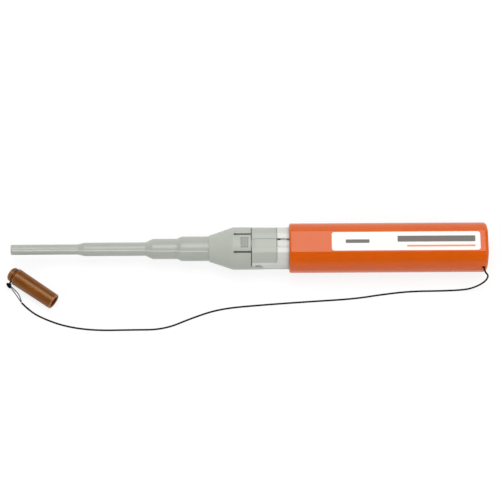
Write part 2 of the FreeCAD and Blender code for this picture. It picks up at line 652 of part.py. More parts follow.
def make_supply():
    bore = "post_diameter / 2 + turn_play"
    hub = "hub_diameter / 2"
    rim = "supply_flange / 2"
    half = "supply_depth / 2"
    keep("supply_reel", turned([
        (f"-{half}", bore), (f"-{half}", rim), (f"-{half} + flange_sheet", rim),
        (f"-{half} + flange_sheet", hub), (f"{half} - flange_sheet", hub),
        (f"{half} - flange_sheet", rim), (half, rim), (half, bore),
    ], upright=True), x="supply_x - overall / 2")
    keep("supply_winding", turned([
        (f"-{half} + flange_sheet", hub), (f"-{half} + flange_sheet", "supply_winding / 2"),
        (f"{half} - flange_sheet", "supply_winding / 2"), (f"{half} - flange_sheet", hub),
    ], upright=True), x="supply_x - overall / 2")
    base = f"-{half} - gear_gap - washer_sheet + 0.02"
    keep("brake_washer", turned([
        (base, bore), (base, "shoulder_diameter / 2 + 1"),
        (f"{base} + washer_sheet", "shoulder_diameter / 2 + 1"), (f"{base} + washer_sheet", bore),
    ], upright=True), x="supply_x - overall / 2")


def tube_along(points, diameter, report=None):
    """A tube on straight runs joined by tangent arcs, each as large as its runs allow."""
    spots = [Vector(*point) for point in points]
    edges = []
    here = spots[0]
    length = 0.0
    for before, corner, after in zip(spots, spots[1:], spots[2:]):
        back, ahead = (before - corner), (after - corner)
        shorter = min(back.Length, ahead.Length)
        turn = math.pi - back.getAngle(ahead)
        radius = 0.45 * shorter / math.tan(turn / 2)
        if report:
            print(f"{report}: radius {radius:.2f} mm at {tuple(round(c, 1) for c in corner)}")
        back.normalize()
        ahead.normalize()
        start, end = corner + back * (0.45 * shorter), corner + ahead * (0.45 * shorter)
        inward = (back + ahead).normalize()
        middle = corner + inward * (radius / math.cos(turn / 2) - radius)
        edges.append(Part.LineSegment(here, start).toShape())
        edges.append(Part.Arc(start, middle, end).toShape())
        here = end
    edges.append(Part.LineSegment(here, spots[-1]).toShape())
    length = sum(edge.Length for edge in edges)
    path = Part.Wire(edges)
    first = spots[1] - spots[0]
    ring = Part.Wire([Part.Circle(spots[0], first, diameter / 2).toShape()])
    tube = path.makePipeShell([ring], True, True)
    if report:
        section = math.pi * diameter ** 2 / 4
        print(f"{report}: length {length:.1f} mm, volume over section by length "
              f"{tube.Volume / (section * length):.5f}")
    return tube


def make_shaft():
    """The wiping shaft with its head, the cam that turns it, and the thread over the head."""
    track, thread = "thread_track", "thread_diameter"
    shaft = turned([
        ("shaft_start", "0"), ("shaft_start", "head_diameter / 4"),
        ("shaft_start + 3", "head_diameter / 4"), ("shaft_start + 3", "shaft_diameter / 2"),
        ("collar_place - 1", "shaft_diameter / 2"), ("collar_place - 1", "shaft_collar / 2"),
        ("collar_place", "shaft_collar / 2"), ("collar_place", "shaft_diameter / 2"),
        ("shaft_rear", "shaft_diameter / 2"), ("shaft_rear", "0"),
    ])
    slots = []
    for side in ("thread_track - thread_diameter", "-shaft_collar / 2 - 0.1"):
        slots.append(block("collar_place - 1.1", side, "-thread_diameter", "1.2",
                           "shaft_collar / 2 - thread_track + thread_diameter + 0.1",
                           "2 * thread_diameter", "ThreadSlot"))
    keep("wiper_shaft", cut(shaft, *slots))

    keep("wiper_head", turned([
        ("head_start", "0"), ("head_start", "head_diameter / 2 - head_chamfer"),
        ("head_start + head_chamfer", "head_diameter / 2"), ("shaft_start + 2.9", "head_diameter / 2"),
        ("shaft_start + 2.9", "head_diameter / 4"), ("shaft_start", "head_diameter / 4"),
        ("shaft_start", "0"),
    ]))

    cam_bore = "thread_track + thread_diameter"
    cam = turned([
        ("cam_start", cam_bore), ("cam_start", "cam_diameter / 2"),
        ("cam_start + cam_length", "cam_diameter / 2"), ("cam_start + cam_length", cam_bore),
    ])
    keep("turning_cam", cam)

    run, rear = size(track), size("shaft_rear + 2")
    front = size("head_start") - size(thread) / 2 - 0.02
    loop = tube_along([(rear, -run, 0), (front, -run, 0), (front, run, 0), (rear, run, 0)],
                      size(thread))
    strand = document.addObject("Part::Feature", "Thread")
    strand.Shape = loop
    keep("cleaning_thread", strand)


def coil(diameter, wire, turns, start, end, name):
    """A compression spring along X: a six-sided wire swept along a helix."""
    body_length = size(end) - size(start) - size(wire)
    helix = document.addObject("Part::Helix", name + "Path")
    helix.Radius = (size(diameter) - size(wire)) / 2
    helix.Pitch = body_length / size(turns)
    helix.Height = body_length
    helix.Placement = Placement(Vector(size(start) + size(wire) / 2, 0, 0),
                                Rotation(Vector(0, 1, 0), 90))
    document.recompute()
    path = Part.Wire(helix.Shape.Edges)
    first = path.Edges[0]
    point = first.valueAt(first.FirstParameter)
    direction = first.tangentAt(first.FirstParameter)
    across = Vector(point.x, point.y, point.z) - Vector(point.x, 0, 0)
    across.normalize()
    corners = [point + Rotation(direction, 60 * number).multVec(across) * (size(wire) / 2)
               for number in range(6)]
    ring = Part.makePolygon(corners + corners[:1])
    spring = document.addObject("Part::Feature", name)
    spring.Shape = path.makePipeShell([ring], True, True)
    return spring


def make_springs():
    keep("return_spring", coil("spring_diameter", "spring_wire", "spring_turns", "spring_front",
                               "spring_rear", "ReturnSpring"))
    keep("head_spring", coil("head_spring_diameter", "head_spring_wire", "head_spring_turns",
                             "collar_place", "cam_start", "HeadSpring"))


def make_guide():
    """The plate that leads the thread into the case, and the two strands to the reels."""
    plate = flatted_pad("case_diameter / 2 - case_wall - seat_play", "floor_z - seat_play",
                        "main_start + 1", "guide_thickness")
    holes = [rod("guide_hole", "guide_thickness + 2", "main_start", f"{sign}thread_track",
                 along="x", name="ThreadEye") for sign in ("", "-")]
    keep("thread_guide", cut(plate, *holes))

    track, front, rear = size("thread_track"), size("main_start + 1"), size(
        "main_start + 1 + guide_thickness")
    wire = size("thread_diameter")
    wound, low = size("take_up_winding / 2") + wire / 2 + 0.05, size(
        "take_up_top - take_up_depth / 2")
    paid, high = size("supply_winding / 2") + wire / 2 + 0.05, size(
        "transfer_z + transfer_width") + 0.6
    past_post = size("pinion_y + shoulder_diameter / 2") + wire + 0.3
    gear, take_up, supply = size("gear_x"), size("take_up_x"), size("supply_x")
    ways = {
        "take_up_strand": [[(rear, track, 0), (gear - 8, past_post, low), (gear + 5, past_post, low),
                            (take_up, wound, low)]],
        "supply_strand": [[(rear, -track, 0), (gear - 10, -paid + 1, high), (supply, -paid, high)]],
        "thread_span": [[(size("shaft_rear + 2"), side * track, 0), (front, side * track, 0)]
                        for side in (1, -1)],
    }
    for label, strands in ways.items():
        strand = document.addObject("Part::Feature", "Strand")
        tubes = [tube_along(points, wire) for points in strands]
        strand.Shape = tubes[0] if len(tubes) == 1 else Part.makeCompound(tubes)
        keep(label, strand)


def make_cap():
    """The pulled-off tip cap: a tapered sleeve with a rim, a neck and the strap's cross hole."""
    body = turned([
        ("0", "0"), ("0", "cap_end_diameter / 2 - cap_round"), ("cap_round", "cap_end_diameter / 2"),
        ("cap_rim", "cap_end_diameter / 2"), ("cap_rim", "cap_neck_diameter / 2"),
        ("cap_rim + cap_neck", "cap_neck_diameter / 2"),
        ("cap_rim + cap_neck", "cap_diameter / 2 - cap_edge"),
        ("cap_rim + cap_neck + cap_edge", "cap_diameter / 2"),
        ("cap_length - cap_edge", "cap_mouth_diameter / 2"),
        ("cap_length", "cap_mouth_diameter / 2 - cap_edge"),
        ("cap_length", "cap_bore / 2 + cap_lead_in"),
        ("cap_length - 2 * cap_lead_in", "cap_bore / 2"),
        ("cap_floor", "cap_bore / 2"), ("cap_floor", "0"),
    ])
    hole = rod("cap_hole", "2 * cap_diameter", "cap_rim + cap_neck / 2", "-cap_diameter",
               along="y", name="StrapWay")
    keep("tip_cap", cut(body, hole), x="cap_x", y="cap_y", z="cap_axis_z", turn="cap_turn")


def make_strap():
    """The cord from the grip to the cap, with the thin loop through the cap and its knot."""
    cord = document.addObject("Part::Feature", "Cord")
    cord.Shape = tube_along(CORD_POINTS, SIZES["cord_diameter"], "cord")
    keep("strap_cord", cord, placed=False)
    strands = [tube_along(points, SIZES["loop_diameter"], "loop") for points in LOOP_STRANDS]
    turn = math.radians(SIZES["cap_turn"])
    way, across = Vector(math.cos(turn), math.sin(turn), 0), Vector(-math.sin(turn), math.cos(turn), 0)
    neck = Vector(SIZES["cap_x"], SIZES["cap_y"], size("cap_axis_z"))
    neck += way * size("cap_rim + cap_neck / 2")
    far = size("(cap_neck_diameter + bead_diameter) / 2")
    near = size("cap_diameter / 2 + strand_show")
    bead = Part.makeSphere(SIZES["bead_diameter"] / 2, neck + across * far)
    pair = Part.makeCylinder(SIZES["strand_pair"] / 2, near + far, neck - across * near, across)
    loop = document.addObject("Part::Feature", "Loop")
    loop.Shape = Part.makeCompound(strands + [pair.fuse(bead)])
    keep("strap_loop", loop, placed=False)
    knot = document.addObject("Part::Sphere", "Knot")
    bind(knot, "Radius", "knot_diameter / 2")
    knot.Placement = Placement(Vector(*KNOT_POINT), Rotation())
    keep("strap_knot", knot, placed=False)


def write_parts():
    """Check every object of the document, then write each piece to its own file."""
    document.recompute()
    for thing in document.Objects:
        if "Invalid" in thing.State or "Error" in thing.State:
            raise RuntimeError(f"{thing.Name} ({thing.Label}) failed: {thing.State}")
    os.makedirs("parts", exist_ok=True)
    for label, thing in pieces.items():
        shape = thing.Shape
        if shape.isNull() or not shape.isValid():
            raise RuntimeError(f"{label} has no valid shape")
        shape.exportStep(os.path.join("parts", label + ".step"))
        print(f"{label}: {len(shape.Solids)} solid, {shape.Volume:.1f} mm3")


make_sheets()
make_nozzle()
make_nose()
make_case()
make_collar()
make_barrel()
make_rack()
make_gears()
make_supply()
make_shaft()
make_springs()
make_guide()
make_cap()
make_strap()
write_parts()
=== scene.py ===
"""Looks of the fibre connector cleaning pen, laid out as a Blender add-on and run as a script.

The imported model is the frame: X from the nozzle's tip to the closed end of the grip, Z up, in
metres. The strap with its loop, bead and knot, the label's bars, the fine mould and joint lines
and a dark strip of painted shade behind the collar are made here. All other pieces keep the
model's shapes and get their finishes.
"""
import json
import math

import bmesh
import bpy
from mathutils import Matrix, Vector


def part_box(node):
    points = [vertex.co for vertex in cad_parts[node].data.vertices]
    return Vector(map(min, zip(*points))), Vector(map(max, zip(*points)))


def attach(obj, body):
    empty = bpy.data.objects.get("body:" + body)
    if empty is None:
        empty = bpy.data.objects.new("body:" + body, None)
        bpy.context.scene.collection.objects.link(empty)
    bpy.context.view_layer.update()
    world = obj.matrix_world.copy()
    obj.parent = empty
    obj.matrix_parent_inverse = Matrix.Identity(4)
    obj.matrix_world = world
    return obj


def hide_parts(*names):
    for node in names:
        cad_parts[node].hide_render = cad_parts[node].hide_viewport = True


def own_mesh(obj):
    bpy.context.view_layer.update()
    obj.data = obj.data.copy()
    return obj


bl_info = {
    "name": "Connector cleaning pen",
    "version": (1, 0, 0),
    "blender": (4, 5, 0),
    "location": "3D View > Sidebar > Cleaning pen",
    "description": "Dresses a push-to-clean pen for fibre connectors: strap, label and finishes",
    "category": "Object",
}

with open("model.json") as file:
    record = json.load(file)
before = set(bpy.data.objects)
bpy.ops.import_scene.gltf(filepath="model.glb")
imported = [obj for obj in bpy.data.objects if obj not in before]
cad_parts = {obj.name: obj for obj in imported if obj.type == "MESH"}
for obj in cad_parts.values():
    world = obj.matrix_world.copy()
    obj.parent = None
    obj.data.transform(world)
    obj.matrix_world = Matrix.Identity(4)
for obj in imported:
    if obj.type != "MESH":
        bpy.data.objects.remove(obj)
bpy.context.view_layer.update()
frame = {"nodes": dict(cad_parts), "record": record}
MM = 0.001
AXIS_HEIGHT = (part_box("barrel_shell")[0].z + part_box("barrel_shell")[1].z) / 2
SHARP_ANGLE = math.radians(35)  # edges turned further than this stay sharp
ROOT_DEPTH = 0.01 * MM  # how far a thin line's foot goes into the piece it lies on
CASE_HALVES = ("case_top", "case_bottom")
NOZZLE_TUBES = ("tip_tube", "nozzle_tube")

# the strap from the hole in the grip down to the table and along it, in millimetres
CORD_ROUTE = [
    (113.5, -9.9, 14.97), (114.0, -13.5, 14.65), (116.3, -14.6, 11.8), (115.4, -16.2, 8.2),
    (112.6, -17.4, 4.6), (108.7, -18.3, 1.7), (104.0, -18.7, 0.43), (94.4, -19.1, 0.43),
    (79.4, -19.2, 0.43), (65.6, -20.7, 0.43), (51.4, -22.9, 0.43), (30.4, -24.1, 0.43),
    (6.4, -25.7, 0.43), (-14.1, -27.5, 0.43), (-27.6, -32.0, 0.43), (-41.4, -37.8, 0.43),
    (-57.6, -37.9, 0.43), (-75.6, -38.1, 0.43), (-89.6, -36.0, 0.43), (-100.6, -31.9, 0.43),
    (-107.2, -28.0, 0.43), (-111.2, -23.9, 0.43),
]

# the thin doubled strand, from the cord's end to the knot, and the cap that it is tied to
LOOP_STRANDS = [
    [(-116.8, -16.2, 2.6), (-115.2, -18.2, 0.9), (-113.6, -20.4, 0.26), (-111.5, -23.5, 0.3)],
    [(-116.4, -16.1, 2.9), (-114.35, -17.8, 1.2), (-112.3, -20.0, 0.26), (-111.3, -23.4, 0.3)],
]

# the lengths of strand that the braid's pattern is laid out on, in metres
CORD_LENGTH, LOOP_LENGTH, KNOT_LENGTH = 0.246, 0.042, 0.012

KNOT_PLACE = Vector((-117.2, -15.84, 3.35))
CAP_TURN = math.radians(-34.4)
CAP_WAY = Vector((math.cos(CAP_TURN), math.sin(CAP_TURN), 0))
CAP_SIDE = Vector((-CAP_WAY.y, CAP_WAY.x, 0))
CAP_NECK = Vector((-116.6, -9.7, 4.15)) + CAP_WAY * 2.8  # the middle of the neck's hole, in mm
NECK_RADIUS = 3.15 * MM

# tints that no single piece is made in: the painted red light down in the cap, its warm gloss, and
# the table
BORE_RED, WARM_GLOSS, PAPER_WHITE = "CB501F", "FFCEA6", "F7F7F7"
MIDDLE = (0.3, 0.7)  # most of a noise's values lie between these


def linear(hex_colour):
    """An sRGB hex colour such as "D9641A", turned to linear light."""
    channels = [int(hex_colour[i:i + 2], 16) / 255 for i in (0, 2, 4)]
    return tuple(c / 12.92 if c <= 0.04045 else ((c + 0.055) / 1.055) ** 2.4 for c in channels)


def length_prop(name, description, default):
    """A length that a user can change, with its default in millimetres."""
    return bpy.props.FloatProperty(name=name, description=description, default=default * MM,
                                   min=0.0, unit="LENGTH", precision=5)


def colour_prop(name, description, default):
    """A colour that a user can change, with its default as an sRGB hex colour."""
    return bpy.props.FloatVectorProperty(name=name, description=description, size=3, min=0.0,
                                         max=1.0, subtype="COLOR", default=linear(default))


class PenSizes(bpy.types.PropertyGroup):
    cord_diameter: length_prop("Cord diameter", "Thickness of the braided strap", 0.86)
    loop_diameter: length_prop("Loop diameter", "Thickness of the thin strand at the cap", 0.44)
    knot_diameter: length_prop("Knot diameter", "Width of the knot at the cap's neck", 2.6)
    bead_diameter: length_prop("Bead diameter", "Width of the bead on the strap's end", 1.3)
    braid_pitch: length_prop("Braid pitch", "Length of one turn of the strap's braid", 2.2)
    print_set_in: length_prop("Print set in", "Plain film left at the label's rear end", 2.4)
    mould_line_width: length_prop("Mould line width", "Width of the ridge along the nozzle", 0.6)
    mould_line_height: length_prop("Mould line height", "Height of the ridge's crest", 0.095)
    mould_line_lean: bpy.props.FloatProperty(
        name="Mould line lean", description="Angle of the ridge off the top, towards -Y",
        default=math.radians(29), subtype="ANGLE")


class PenColours(bpy.types.PropertyGroup):
    grip: colour_prop("Grip", "Orange of the grip's ABS", "D45800")
    grey: colour_prop("Grey", "Warm grey of the nose and collar", "B0B4AB")
    tube: colour_prop("Nozzle", "Warm grey of the nozzle's tubes", "A9ADA5")
    # the joint colour also paints the shade in the gap behind the collar
    joint: colour_prop("Joint line", "Dark grey of the joints and of the painted gap shade behind the collar", "73766F")
    line: colour_prop("Mould line", "Paler grey of the ridge along the nozzle", "C2C5BC")
    clear: colour_prop("Clear case", "Tint of the clear polycarbonate", "F2F3EE")
    cap: colour_prop("Cap", "Brown of the tip cap", "703D06")
    cord: colour_prop("Cord", "Black of the strap", "0C0B09")
    bead: colour_prop("Bead", "Pale amber of the bead on the strap's end", "F3EEE2")
    film: colour_prop("Label film", "White of the label", "F4F1EC")
    ink: colour_prop("Label bars", "Grey bars on the label", "6E6963")
    accent: colour_prop("Label line", "Thin line on the label", "E39A6B")
    acetal: colour_prop("Acetal", "White of the gears, reels and shaft", "E9E8E0")
    thread: colour_prop("Thread", "White of the cleaning thread", "F2F2EE")
    steel: colour_prop("Steel", "Grey of the springs", "B9BBBD")


def add(tree, kind, links=(), **settings):
    """Add a node with its settings and links; a link is (source socket, input name or number)."""
    node = tree.nodes.new(kind)
    for name, value in settings.items():
        if name.startswith("in_"):
            key = name[3:].replace("_", " ")
            socket = next(s for s in node.inputs if s.name.lower() == key.lower() and s.enabled)
            socket.default_value = value
        else:
            setattr(node, name, value)
    for source, target in links:
        socket = node.inputs[target] if isinstance(target, int) else next(
            s for s in node.inputs if s.name.lower() == target.lower() and s.enabled)
        tree.links.new(source, socket)
    return node


def steady(shader, **values):
    """Set the shader's own sockets that are the same everywhere."""
    for name, value in values.items():
        shader.inputs[name.replace("_", " ")].default_value = value


def new_material(name):
    """A material with a Principled shader; returns it with its tree, shader and place in mm.

    In that place, a noise with a scale of 1 / size has features about size mm wide.
    """
    material = bpy.data.materials.new(name)
    material.use_nodes = True
    tree = material.node_tree
    shader = next(n for n in tree.nodes if n.type == "BSDF_PRINCIPLED")
    place = add(tree, "ShaderNodeTexCoord").outputs["Object"]
    millimetres = add(tree, "ShaderNodeVectorMath", operation="SCALE", in_Scale=1 / MM,
                      links=[(place, 0)]).outputs[0]
    return material, tree, shader, millimetres


def mottled(tree, factor, colour, spread):
    """The colour, varied in lightness by spread to each side over the factor."""
    ramp = add(tree, "ShaderNodeValToRGB", links=[(factor, 0)])
    for element, position, side in zip(ramp.color_ramp.elements, MIDDLE, (1 - spread, 1 + spread)):
        element.color = (*[min(1.0, c * side) for c in colour], 1)
        element.position = position
    return ramp.outputs[0]


def shaded_creases(tree, colour, reach, depth):
    """The colour, darker by depth in grooves and steps up to reach mm wide: painted shade."""
    open_sky = add(tree, "ShaderNodeAmbientOcclusion", samples=8,
                   in_Distance=reach * MM).outputs["AO"]
    level = add(tree, "ShaderNodeMapRange", in_From_Min=0.35, in_From_Max=0.9,
                in_To_Min=1 - depth, links=[(open_sky, "Value")]).outputs[0]
    return add(tree, "ShaderNodeVectorMath", operation="SCALE",
               links=[(colour, 0), (level, "Scale")]).outputs[0]


def wire(tree, shader, **sources):
    """Link each source to the shader's socket of that name."""
    for name, source in sources.items():
        tree.links.new(source, shader.inputs[name.replace("_", " ")])


def textured(tree, shader, pattern, low, high, depth):
    """Roughness from low to high over the pattern's middle range, and relief depth mm deep."""
    roughness = add(tree, "ShaderNodeMapRange", in_From_Min=MIDDLE[0], in_From_Max=MIDDLE[1],
                    in_To_Min=low, in_To_Max=high, links=[(pattern, "Value")])
    relief = add(tree, "ShaderNodeBump", in_Strength=1.0, in_Distance=depth * MM,
                 links=[(pattern, "Height")])
    wire(tree, shader, Roughness=roughness.outputs[0], Normal=relief.outputs[0])


def gloss_abs(colour):
    """ABS, moulded in a polished tool: a deep orange under a clear, slightly wavy gloss."""
    material, tree, shader, place = new_material("ABS, moulded gloss, orange")
    broad = add(tree, "ShaderNodeTexNoise", in_Scale=1 / 14, links=[(place, "Vector")]).outputs[0]
    peel = add(tree, "ShaderNodeTexNoise", in_Scale=1 / 2.4,  # flow waves of about 2.4 mm
               links=[(place, "Vector")]).outputs[0]
    wire(tree, shader, Base_Color=mottled(tree, broad, colour, 0.03))
    textured(tree, shader, peel, 0.24, 0.27, 0.003)
    steady(shader, IOR=1.53, Specular_IOR_Level=0.3)
    return material


def satin_grey(colour, name):
    """ABS, moulded in a spark-eroded tool: a dry, even grey with a soft sheen along its rounds."""
    material, tree, shader, place = new_material(name)
    grain = add(tree, "ShaderNodeTexNoise", in_Scale=1 / 0.35,  # coarser than the real 0.1 mm
                in_Detail=4, in_Roughness=0.6, links=[(place, "Vector")]).outputs[0]
    broad = add(tree, "ShaderNodeTexNoise", in_Scale=1 / 9, links=[(place, "Vector")]).outputs[0]
    even = mottled(tree, broad, colour, 0.02)
    # painted shade: the grey is darker in its grooves, slots and steps
    wire(tree, shader, Base_Color=shaded_creases(tree, even, 0.9, 0.3))
    textured(tree, shader, grain, 0.36, 0.50, 0.008)
    steady(shader, IOR=1.53, Specular_IOR_Level=0.4)
    return material


def semi_gloss_grey(colour, name):
    """PBT, moulded semi-gloss: a grey with long soft lights along the tubes."""
    material, tree, shader, place = new_material(name)
    broad = add(tree, "ShaderNodeTexNoise", in_Scale=1 / 7, links=[(place, "Vector")]).outputs[0]
    grain = add(tree, "ShaderNodeTexNoise", in_Scale=1 / 0.7, in_Detail=3,
                links=[(place, "Vector")]).outputs[0]
    wire(tree, shader, Base_Color=mottled(tree, broad, colour, 0.015))
    textured(tree, shader, grain, 0.27, 0.37, 0.006)
    steady(shader, IOR=1.54)
    return material


def clear_polycarbonate(colour):
    """Polycarbonate, moulded clear: glassy, faintly cloudy, with what is behind it showing soft."""
    material, tree, shader, place = new_material("Polycarbonate, moulded clear")
    flow = add(tree, "ShaderNodeTexNoise", in_Scale=1 / 3.5, in_Detail=3,
               links=[(place, "Vector")]).outputs[0]
    even = mottled(tree, flow, colour, 0.02)
    # painted shade: the case is darker in its channel and steps, and beside the pieces around it
    wire(tree, shader, Base_Color=shaded_creases(tree, even, 2, 0.75))
    textured(tree, shader, flow, 0.12, 0.24, 0.02)
    steady(shader, IOR=1.58, Specular_IOR_Level=0.25, Transmission_Weight=0.3)
    return material


def brown_polypropylene(colour):
    """Polypropylene, moulded brown: waxy and slightly see-through, with drawn-out flow marks."""
    material, tree, shader, place = new_material("Polypropylene, moulded, brown")
    along = add(tree, "ShaderNodeMapping", vector_type="TEXTURE", in_Rotation=(0, 0, CAP_TURN),
                in_Scale=(5, 1, 1),  # the marks run five times as long as wide
                links=[(place, "Vector")]).outputs[0]
    streaks = add(tree, "ShaderNodeTexNoise", in_Scale=1 / 1.4, in_Detail=3,
                  links=[(along, "Vector")]).outputs[0]
    open_sky = add(tree, "ShaderNodeAmbientOcclusion", samples=8,
                   in_Distance=10 * MM).outputs["AO"]
    thin = add(tree, "ShaderNodeAmbientOcclusion", samples=8, inside=True, only_local=True,
               in_Distance=1.0 * MM).outputs["AO"]
    # painted shade: the brown darkens where the table and the cap itself hide the sky, on its sides
    # and down in the bore
    shade = add(tree, "ShaderNodeMapRange", in_From_Min=0.4, in_From_Max=0.95, in_To_Min=0.1,
                links=[(open_sky, "Value")]).outputs[0]
    shaded = add(tree, "ShaderNodeVectorMath", operation="SCALE", links=[
        (mottled(tree, streaks, colour, 0.2), 0), (shade, "Scale")]).outputs[0]
    # painted light: a red glow left down in the bore, and a paler glow along the thin edges, where
    # light would come through
    edge_glow = [min(1, c * 1.7 + 0.05) for c in colour]
    for cause, none, full, tint in ((open_sky, 0.45, 0.2, linear(BORE_RED)),
                                    (thin, 0.85, 0.5, edge_glow)):
        part = add(tree, "ShaderNodeMapRange", in_From_Min=none, in_From_Max=full,
                   links=[(cause, "Value")]).outputs[0]
        blend = add(tree, "ShaderNodeMix", data_type="RGBA", in_B=(*tint, 1),
                    links=[(part, "Factor"), (shaded, "A")])
        shaded = next(s for s in blend.outputs if s.enabled)
    # painted shade on the gloss too: its shine fades where the sky is hidden
    shine = add(tree, "ShaderNodeMapRange", in_From_Min=0.1, in_To_Max=0.95,
                links=[(shade, "Value")]).outputs[0]  # none down in the bore
    wire(tree, shader, Base_Color=shaded, Specular_IOR_Level=shine)
    textured(tree, shader, streaks, 0.31, 0.40, 0.005)
    steady(shader, IOR=1.49, Specular_Tint=(*linear(WARM_GLOSS), 1))
    return material


def braided_nylon(colour, pitch, length, name):
    """Nylon, braided: black with a dry sheen, its strands crossing in small diamonds."""
    material, tree, shader, _ = new_material(name)
    lay = add(tree, "ShaderNodeTexCoord").outputs["UV"]
    along, around = add(tree, "ShaderNodeSeparateXYZ", links=[(lay, 0)]).outputs[:2]
    turns = add(tree, "ShaderNodeMath", operation="MULTIPLY", in_Value=length / pitch,
                links=[(along, 1)]).outputs[0]
    strands_each_way = 4
    waves = []
    for way in (1, -1):
        crossing = add(tree, "ShaderNodeMath", operation="MULTIPLY_ADD", in_Value=way,
                       links=[(around, 1), (turns, 2)]).outputs[0]
        angle = add(tree, "ShaderNodeMath", operation="MULTIPLY",
                    in_Value=2 * math.pi * strands_each_way, links=[(crossing, 1)]).outputs[0]
        waves.append(add(tree, "ShaderNodeMath", operation="SINE", links=[(angle, 0)]).outputs[0])
    weave = add(tree, "ShaderNodeMath", operation="MAXIMUM", links=[(waves[0], 0), (waves[1], 1)])
    level = add(tree, "ShaderNodeMapRange", in_From_Min=-1, in_From_Max=1,
                links=[(weave.outputs[0], "Value")]).outputs[0]
    wire(tree, shader, Base_Color=mottled(tree, level, colour, 0.45))
    textured(tree, shader, level, 0.75, 0.55, 0.06)
    steady(shader, Sheen_Weight=0.02, Sheen_Roughness=0.5, Specular_IOR_Level=0.12)
    return material


def clear_bead(colour):
    """Nylon, crimped bead: pale amber, half clear, with a small bright glint."""
    material, tree, shader, place = new_material("Nylon, crimped bead")
    cloud = add(tree, "ShaderNodeTexNoise", in_Scale=1 / 0.5, links=[(place, "Vector")]).outputs[0]
    wire(tree, shader, Base_Color=mottled(tree, cloud, colour, 0.05))
    textured(tree, shader, cloud, 0.2, 0.35, 0.01)
    steady(shader, IOR=1.53, Transmission_Weight=0.35)
    return material


def label_film(colour):
    """Polyester film, printed and laid on: flat white, satin, with a faint ripple of the glue."""
    material, tree, shader, place = new_material("Polyester film, satin, white")
    ripple = add(tree, "ShaderNodeTexNoise", in_Scale=1 / 5, links=[(place, "Vector")]).outputs[0]
    wire(tree, shader, Base_Color=mottled(tree, ripple, colour, 0.012))
    textured(tree, shader, ripple, 0.38, 0.48, 0.008)
    return material


def printed_ink(colour, name):
    """Ink, screen printed: even, a little drier than the film, with fine specks in its tone."""
    material, tree, shader, place = new_material(name)
    specks = add(tree, "ShaderNodeTexNoise", in_Scale=1 / 0.4, in_Detail=4,
                 links=[(place, "Vector")]).outputs[0]
    wire(tree, shader, Base_Color=mottled(tree, specks, colour, 0.06))
    textured(tree, shader, specks, 0.5, 0.6, 0.002)
    return material


def moulded_acetal(colour):
    """Acetal, moulded: milky white, slippery, with soft edges to its highlights."""
    material, tree, shader, place = new_material("Acetal, moulded, natural white")
    cloud = add(tree, "ShaderNodeTexNoise", in_Scale=1 / 2.5, links=[(place, "Vector")]).outputs[0]
    wire(tree, shader, Base_Color=mottled(tree, cloud, colour, 0.02))
    textured(tree, shader, cloud, 0.30, 0.42, 0.008)
    steady(shader, IOR=1.48)
    return material


def stranded_thread(colour):
    """Polyester microfibre, stranded: soft white, with a fuzz of fine fibres."""
    material, tree, shader, place = new_material("Polyester microfibre, stranded, white")
    fibre = add(tree, "ShaderNodeTexNoise", in_Scale=1 / 0.12,  # coarser than the real 0.01 mm
                in_Detail=4, in_Roughness=0.7, links=[(place, "Vector")]).outputs[0]
    wire(tree, shader, Base_Color=mottled(tree, fibre, colour, 0.08))
    textured(tree, shader, fibre, 0.75, 0.9, 0.03)
    steady(shader, Sheen_Weight=0.3)
    return material


def drawn_steel(colour):
    """Spring steel, drawn: bright grey wire with a fine, uneven polish."""
    material, tree, shader, place = new_material("Spring steel, drawn")
    polish = add(tree, "ShaderNodeTexNoise", in_Scale=1 / 0.3, in_Detail=4,
                 links=[(place, "Vector")]).outputs[0]
    wire(tree, shader, Base_Color=mottled(tree, polish, colour, 0.05))
    textured(tree, shader, polish, 0.22, 0.36, 0.004)
    steady(shader, Metallic=1.0)
    return material


def finish_nodes(material, *nodes):
    """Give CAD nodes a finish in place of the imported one."""
    for node in nodes:
        mesh = frame["nodes"][node].data
        mesh.materials.clear()
        mesh.materials.append(material)


def curve_object(name, routes, diameter):
    """Round cords along smooth NURBS splines through their routes' control points, in mm."""
    curve = bpy.data.curves.new(name, "CURVE")
    curve.dimensions = "3D"
    for points in routes:
        spline = curve.splines.new("NURBS")
        spline.points.add(len(points) - 1)
        for control, point in zip(spline.points, points):
            control.co = (*[c * MM for c in point], 1)
        spline.order_u = 3
        spline.use_endpoint_u = True
        spline.resolution_u = 10
    curve.bevel_depth = diameter / 2
    curve.bevel_resolution = 4
    curve.use_fill_caps = True
    thing = bpy.data.objects.new(name, curve)
    bpy.context.scene.collection.objects.link(thing)
    return thing


def mesh_object(name, mesh_tool):
    """A new object from a bmesh, smooth but for its sharp edges."""
    mesh = bpy.data.meshes.new(name)
    mesh_tool.to_mesh(mesh)
    mesh_tool.free()
    mesh.shade_smooth()
    mesh.set_sharp_from_angle(angle=SHARP_ANGLE)
    thing = bpy.data.objects.new(name, mesh)
    bpy.context.scene.collection.objects.link(thing)
    return thing


def skinned(name, tool, sections):
    """A new object, its faces laid between neighbouring rows of points."""
    for this, following in zip(sections, sections[1:]):
        for edge in range(len(this) - 1):
            tool.faces.new((this[edge], this[edge + 1], following[edge + 1], following[edge]))
    bmesh.ops.recalc_face_normals(tool, faces=tool.faces)
    return mesh_object(name, tool)


def outer_reach(nodes, axis, out):
    """How far the outside of CAD nodes lies from a point on their axis, along out.

    A ray that slips through a seam lands on the far wall, which lies as far out, so only the
    distance is taken from it.
    """
    start = axis + out * 20 * MM  # further out than any of the nodes reaches
    hits = [frame["nodes"][node].ray_cast(start, -out) for node in nodes]
    return max((hit[1] - axis).length for hit in hits if hit[0])


